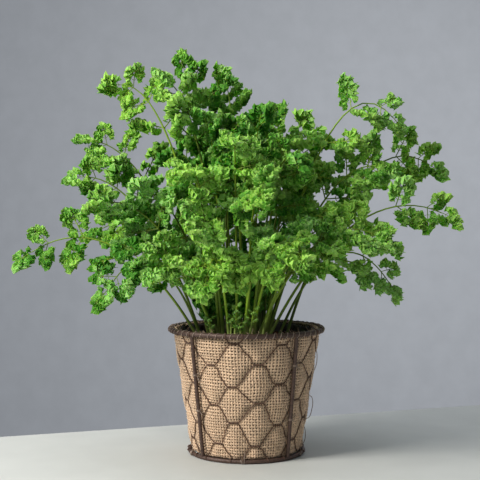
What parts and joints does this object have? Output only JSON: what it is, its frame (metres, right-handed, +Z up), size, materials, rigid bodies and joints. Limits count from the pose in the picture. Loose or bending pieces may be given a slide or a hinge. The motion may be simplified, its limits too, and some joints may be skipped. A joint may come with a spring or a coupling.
{
  "type": "potted parsley",
  "caption": "Curly parsley growing in a wire basket pot lined with hessian, for a kitchen shelf, table or windowsill.",
  "frame": {"origin": "on the pot's axis, in the plane that the pot stands on", "axes": "+Z up, -Y towards the front of the pot, +X to the right as seen from the front, along the plant's widest spread"},
  "size_m": [0.3769, 0.259, 0.3407],
  "materials": {
    "rusty_wire": "dark brown, lightly rusted round wire, low sheen",
    "netting_wire": "thin dark brown twisted netting wire",
    "hessian": "natural tan hessian in a loose plain weave, matte",
    "liner_film": "thin dark crinkled plastic film",
    "soil": "dark brown crumbly potting soil",
    "parsley_leaf": "fresh mid green leaf, slightly waxy"
  },
  "bodies": {
    "root": {"rim_ring": "rusty_wire", "base_ring": "rusty_wire", "rib_1": "rusty_wire", "rib_2": "rusty_wire", "rib_3": "rusty_wire", "rib_4": "rusty_wire", "base_cross": "rusty_wire", "hex_netting": "netting_wire", "hessian_lining": "hessian", "plastic_liner": "liner_film", "soil": "soil", "frond_01": "parsley_leaf", "frond_02": "parsley_leaf", "frond_03": "parsley_leaf", "frond_04": "parsley_leaf", "frond_05": "parsley_leaf", "frond_06": "parsley_leaf", "frond_07": "parsley_leaf", "frond_08": "parsley_leaf", "frond_09": "parsley_leaf", "frond_10": "parsley_leaf", "frond_11": "parsley_leaf", "frond_12": "parsley_leaf", "frond_13": "parsley_leaf", "frond_14": "parsley_leaf", "frond_15": "parsley_leaf", "frond_16": "parsley_leaf", "frond_17": "parsley_leaf", "frond_18": "parsley_leaf", "frond_19": "parsley_leaf", "frond_20": "parsley_leaf", "frond_21": "parsley_leaf", "frond_22": "parsley_leaf", "frond_23": "parsley_leaf", "frond_24": "parsley_leaf", "frond_25": "parsley_leaf", "frond_26": "parsley_leaf", "frond_27": "parsley_leaf", "frond_28": "parsley_leaf", "frond_29": "parsley_leaf", "frond_30": "parsley_leaf", "frond_31": "parsley_leaf", "frond_32": "parsley_leaf", "frond_33": "parsley_leaf", "frond_34": "parsley_leaf", "frond_35": "parsley_leaf", "frond_36": "parsley_leaf", "frond_37": "parsley_leaf", "frond_38": "parsley_leaf", "frond_39": "parsley_leaf", "frond_40": "parsley_leaf", "frond_41": "parsley_leaf", "frond_42": "parsley_leaf", "frond_43": "parsley_leaf", "frond_44": "parsley_leaf", "frond_45": "parsley_leaf", "frond_46": "parsley_leaf", "frond_47": "parsley_leaf", "frond_48": "parsley_leaf", "frond_49": "parsley_leaf"}
  },
  "joints": []
}
